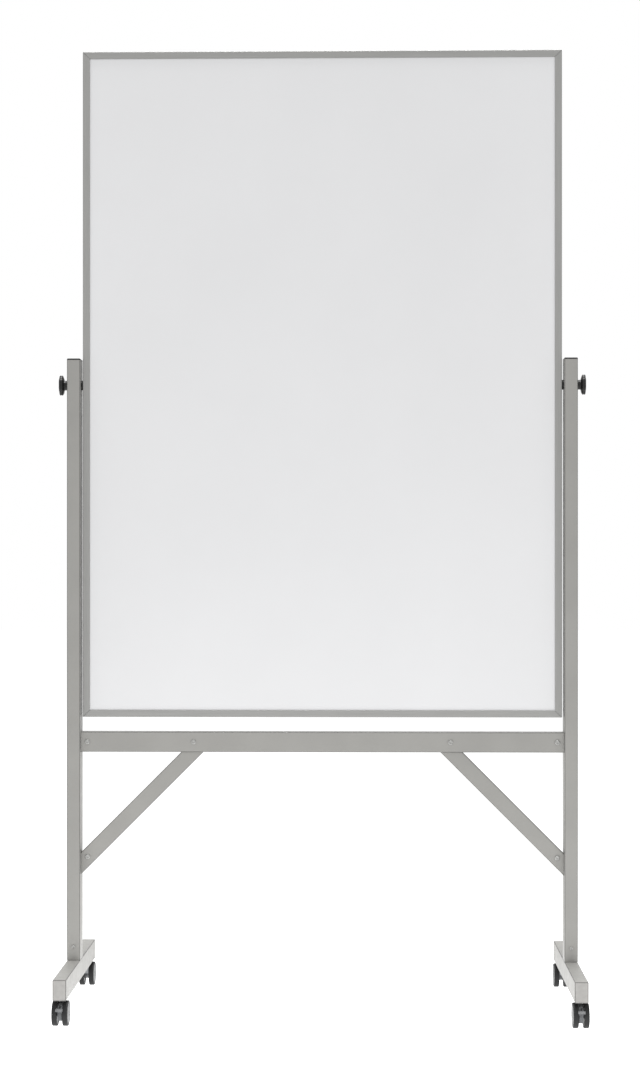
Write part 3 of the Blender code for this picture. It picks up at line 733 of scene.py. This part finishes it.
def build_board(frame, materials):
    for node, finish in (("board_top_rail", "rail_level"), ("board_bottom_rail", "rail_level"),
                         ("board_left_rail", "rail_upright"),
                         ("board_right_rail", "rail_upright")):
        piece(f"{node}_extrusion", cad_body(frame, node), materials[finish], "board", node,
              RAIL_BEVEL)
    for name in ("front", "back"):
        node = f"{name}_writing_surface"
        piece(f"{name}_enamel_sheet", cad_body(frame, node), materials["enamel"], "board",
              node, SHEET_BEVEL)


# ---------------------------------------------------------------- casters

def tread_body(inner, outer, radius):
    """The wheel's soft tread: a crowned ring with round shoulders."""
    side = 1 if outer > inner else -1
    width = abs(outer - inner)
    shoulder = TREAD_SHOULDER
    profile = [(TREAD_EASE, TREAD_RADIUS_INNER), (0.0, TREAD_RADIUS_INNER + TREAD_EASE)]
    profile += [(shoulder - a, b) for a, b in
                arc((0.0, radius - shoulder), shoulder, 0.0, 90.0)]
    profile += [(width - along, size) for along, size in reversed(profile)]
    return lathe("X", [(inner + side * along, size) for along, size in profile],
                 closed=True)


def hub_body(inner, outer, bore_end):
    """A wheel's hub: a domed, notched cover outside, a recessed web inside, a blind bore."""
    side = 1 if outer > inner else -1
    width = abs(outer - inner)
    # along from the wheel's inner face, radius, depth of the notches there
    stations = ((bore_end, AXLE_BORE_RADIUS, 0.0), (0.0004, AXLE_BORE_RADIUS, 0.0),
                (0.0, AXLE_BORE_RADIUS + 0.0004, 0.0), (0.0, 0.0072, 0.0),
                (0.0003, 0.0076, 0.0), (0.0016, 0.0080, 0.0), (0.0018, 0.0084, 0.0),
                (0.0018, 0.0226, 0.0), (0.0016, 0.0230, 0.0), (0.0006, 0.0234, 0.0),
                (0.0003, 0.0238, 0.0), (0.0003, HUB_RADIUS - 0.0003, 0.0),
                (0.0006, HUB_RADIUS, 0.0), (width - 0.0006, HUB_RADIUS, 0.0),
                (width - 0.0002, HUB_RADIUS - 0.0004, 0.0),
                (width - 0.0002, 0.0250, 0.0), (width - 0.0003, 0.0248, NOTCH_DEPTH),
                (width - 0.0003, 0.0232, NOTCH_DEPTH), (width - 0.0002, 0.0230, 0.0),
                (width + 0.0001, 0.0215, 0.0), (width + 0.0004, 0.0170, 0.0),
                (width + 0.0007, 0.0110, 0.0), (width + HUB_DOME, 0.0075, 0.0),
                (width + HUB_DOME, 0.0066, 0.0), (width + 0.0003, 0.0063, 0.0),
                (width + 0.0003, 0.0052, 0.0), (width + HUB_DOME - 0.0001, 0.0049, 0.0),
                (width + HUB_DOME, 0.0044, 0.0), (width + HUB_DOME, 0.0010, 0.0))
    sections = []
    period = RING_POINTS // HUB_NOTCHES
    for along, radius, notch in stations:
        ring = []
        for index, (a, b) in enumerate(circle(radius)):
            sunk = notch if index % period in (0, 1) else 0.0
            ring.append((inner + side * (along - sunk), a, b))
        sections.append(ring)
    return skin(sections)


def pedal_body(pivot):
    """The brake lever: a sloping pad with a raised rim and ribs, an arm, a hub, a pin."""
    run, fall = math.cos(PEDAL_PAD_SLOPE), math.sin(PEDAL_PAD_SLOPE)
    middle = PEDAL_PAD_LENGTH / 2
    width = 2 * PEDAL_PAD_HALF

    def pad_point(x, s, depth):
        return (x, PEDAL_PAD_TOP[0] - (s + middle) * run - depth * fall,
                PEDAL_PAD_TOP[1] - (s + middle) * fall - depth * run)

    sections = []
    for inset, depth in PEDAL_PAD_RIM:
        outline = rounded_rectangle(width - 2 * inset, PEDAL_PAD_LENGTH - 2 * inset,
                                    PEDAL_PAD_ROUND - inset)
        sections.append([pad_point(x, s, depth) for x, s in outline])
    bodies = [skin(sections)]
    for place in PEDAL_RIB_PLACES:
        outline = [(place + across, depth) for across, depth in PEDAL_RIB]
        bodies.append(skin([[pad_point(x, s, depth) for s, depth in outline]
                            for x in (-PEDAL_RIB_HALF, PEDAL_RIB_HALF)]))
    _, arm_y, arm_z = pad_point(0.0, 0.0, PEDAL_ARM_DEPTH)
    half = PEDAL_ARM_HALF
    hub = arc(pivot, PEDAL_HUB_RADIUS, 90.0, -90.0, PEDAL_HUB_STEPS)
    arm = [(PEDAL_PAD_TOP[0], pivot[1]), (arm_y, arm_z - PEDAL_ARM_EASE),
           (arm_y, arm_z + PEDAL_ARM_EASE)]
    bodies.append(skin([section("X", x, hub + arm) for x in (-half, half)]))
    bodies.append(lathe("X", ((-PEDAL_PIN_HALF, PEDAL_PIN_RADIUS),
                              (PEDAL_PIN_HALF, PEDAL_PIN_RADIUS)), pivot, PIN_POINTS))
    return union(bodies)


def stem_body(low, high, flange_bottom, foot_bottom):
    """Threaded stem with its flange: the thread shows as fine rings."""
    middle = ((low.x + high.x) / 2, (low.y + high.y) / 2)
    radius, root = STEM_RADIUS, STEM_RADIUS - THREAD_DEPTH
    flange = (high.x - low.x) / 2
    top = foot_bottom - FOOT_CLEARANCE
    profile = [(low.z, root), (low.z + THREAD_DEPTH, radius), (flange_bottom, radius),
               (flange_bottom, flange - FLANGE_EASE), (flange_bottom + FLANGE_EASE, flange),
               (top - FLANGE_EASE, flange), (top, flange - FLANGE_EASE), (top, radius)]
    turns = int((high.z - top) / THREAD_PITCH) - 1
    for turn in range(turns):
        start = top + THREAD_DEPTH + turn * THREAD_PITCH
        profile += [(start, radius), (start + THREAD_PITCH / 2, root)]
    profile += [(high.z - STEM_TIP, radius), (high.z, radius - STEM_TIP)]
    return lathe("Z", profile, middle, PIN_POINTS)


def build_caster(frame, materials, name, pivots):
    stem_low, stem_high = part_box(f"{name}_caster_stem")
    axle_low, axle_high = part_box(f"{name}_caster_axle")
    swivel = (stem_low + stem_high) / 2
    axle = (axle_low + axle_high) / 2
    turned = axle.y > swivel.y
    trail = abs(axle.y - swivel.y)
    to_world = (Matrix.Translation((swivel.x, swivel.y, 0.0))
                @ Matrix.Rotation(math.pi if turned else 0.0, 4, "Z"))

    def put(label, body, finish, rides, node, bevel=0.0):
        body.transform(to_world)
        piece(f"{name}_{label}", body, materials[finish], rides, node, bevel)

    housing = cad_body(frame, f"{name}_caster_housing")
    shell = piece(f"{name}_housing_shell", housing, materials["housing"],
                  f"{name}_swivel", f"{name}_caster_housing",
                  HOUSING_BEVEL)
    shell.data.materials.append(materials["web"])
    for face in shell.data.polygons:
        if face.center.z < HOOD_BOTTOM:
            face.material_index = 1

    stem = stem_body(stem_low, stem_high, HOUSING_TOP + SWIVEL_CLEARANCE,
                     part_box("left_foot")[0].z)
    piece(f"{name}_threaded_stem", stem, materials["steel"], "root",
          f"{name}_caster_stem")

    bore_end = abs(axle_high.x - axle_low.x) / 2 + BORE_CLEARANCE
    for label in ("outer", "inner"):
        low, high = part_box(f"{name}_{label}_wheel")
        nearer, further = sorted((abs(low.x - swivel.x), abs(high.x - swivel.x)))
        world_side = 1 if low.x > swivel.x else -1
        side = -world_side if turned else world_side
        radius = (high.z - low.z) / 2
        node = f"{name}_{label}_wheel"
        for part, body, slot in (
                ("tread", tread_body(side * nearer, side * further, radius), "wheel_tread"),
                ("hub", hub_body(side * nearer, side * further, bore_end - nearer), None)):
            body.transform(Matrix.Translation((0.0, -trail, axle.z)))
            put(f"{label}_{part}", body, part, node, node)

    pivot_world = Vector(pivots[f"{name}_brake_press"])
    pivot = (-abs(pivot_world.y - swivel.y), pivot_world.z)
    put("pedal_lever", pedal_body(pivot), "pedal", f"{name}_pedal", f"{name}_brake_pedal",
        PEDAL_BEVEL)


# ---------------------------------------------------------------- finish of kept nodes

def finish_kept_nodes(frame, materials):
    """CAD nodes that stay as they are, which lie inside the others."""
    kept = {"board_core": "core"}
    for side, _ in SIDES:
        kept[f"{side}_post_sleeve"] = "steel"
        kept[f"{side}_pivot_insert"] = "steel"
        for end in ENDS:
            kept[f"{end}_{side}_caster_axle"] = "steel"
    for node, finish in kept.items():
        for slot in frame["nodes"][node].material_slots:
            slot.material = materials[finish]


# ---------------------------------------------------------------- stage

def softbox(name, place, target, size, power):
    light = bpy.data.lights.new(name, "AREA")
    light.shape = "RECTANGLE"
    light.size, light.size_y = size
    light.energy = power
    lamp = bpy.data.objects.new(name, light)
    lamp.location = place
    aim = Vector(target) - Vector(place)
    lamp.rotation_euler = aim.to_track_quat("-Z", "Y").to_euler()
    bpy.context.scene.collection.objects.link(lamp)


def build_stage():
    scene = bpy.context.scene
    scene.view_settings.view_transform = "Standard"

    world = bpy.data.worlds.new("white studio")
    scene.world = world
    world.use_nodes = True
    background = world.node_tree.nodes["Background"]
    background.inputs["Color"].default_value = (1.0, 1.0, 1.0, 1.0)
    background.inputs["Strength"].default_value = WORLD_LIGHT

    floor_body = bmesh.new()
    half = FLOOR_SIZE / 2
    corners = [floor_body.verts.new((x, y, 0.0))
               for x, y in ((-half, -half), (half, -half), (half, half), (-half, half))]
    floor_body.faces.new(corners)
    floor = add_object("floor", floor_body)
    floor.location.y = FLOOR_GLOW_Y
    material, tree, shader = new_material("pale_glowing_floor", Metallic=0.0)
    shade = noise(tree, coordinates(tree), FLOOR_MOTTLE_SCALE)
    dark, light = ((tone,) * 3 for tone in FLOOR_TONE)
    link(tree, ramp(tree, shade, ((0.3, dark), (0.7, light))), shader.inputs["Base Color"])
    shader.inputs["Roughness"].default_value = FLOOR_ROUGHNESS
    shader.inputs["Specular IOR Level"].default_value = 0.0
    # painted light: a pool of emission on the floor round the object
    away = tree.nodes.new("ShaderNodeTexGradient")
    away.gradient_type = "SPHERICAL"
    reach = 1.0 / FLOOR_GLOW_REACH
    link(tree, coordinates(tree, (reach, reach, reach)), away.inputs["Vector"])
    near = tree.nodes.new("ShaderNodeMapRange")
    near.interpolation_type = "SMOOTHSTEP"
    near.inputs["To Min"].default_value = FLOOR_GLOW_FAR
    near.inputs["To Max"].default_value = FLOOR_GLOW
    link(tree, away.outputs["Fac"], near.inputs["Value"])
    link(tree, near.outputs["Result"], shader.inputs["Emission Strength"])
    shader.inputs["Emission Color"].default_value = (1.0, 1.0, 1.0, 1.0)
    floor.data.materials.append(material)

    out, forward, height = SIDE_LIGHT_PLACE
    for name, side in SIDES:
        softbox(f"{name} softbox", (side * out, forward, height), (0.0, 0.0, height),
                SIDE_LIGHT_SIZE, SIDE_LIGHT_POWER)
    softbox("top softbox", (0.0, 0.0, TOP_LIGHT_HEIGHT), (0.0, 0.0, 0.0),
            (TOP_LIGHT_SIZE, TOP_LIGHT_SIZE), TOP_LIGHT_POWER)

    camera_data = bpy.data.cameras.new("camera")
    camera_data.sensor_width = CAMERA_SENSOR_WIDTH
    camera_data.lens = CAMERA_LENS
    camera_data.shift_y = CAMERA_SHIFT_Y
    camera_data.clip_end = CAMERA_CLIP_END
    camera = bpy.data.objects.new("camera", camera_data)
    camera.location = CAMERA_PLACE
    camera.rotation_euler = (math.pi / 2, 0.0, CAMERA_YAW)
    scene.collection.objects.link(camera)
    scene.camera = camera


def main():
    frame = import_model()
    materials = make_materials()
    pivots = {joint["name"]: joint["pos_m"] for joint in frame["joints"]}
    finish_kept_nodes(frame, materials)
    build_tubes(frame, materials)
    build_caps(materials)
    build_screws(materials)
    build_pivots(materials)
    build_board(frame, materials)
    for end in ENDS:
        for side, _ in SIDES:
            build_caster(frame, materials, f"{end}_{side}", pivots)
    build_stage()


main()
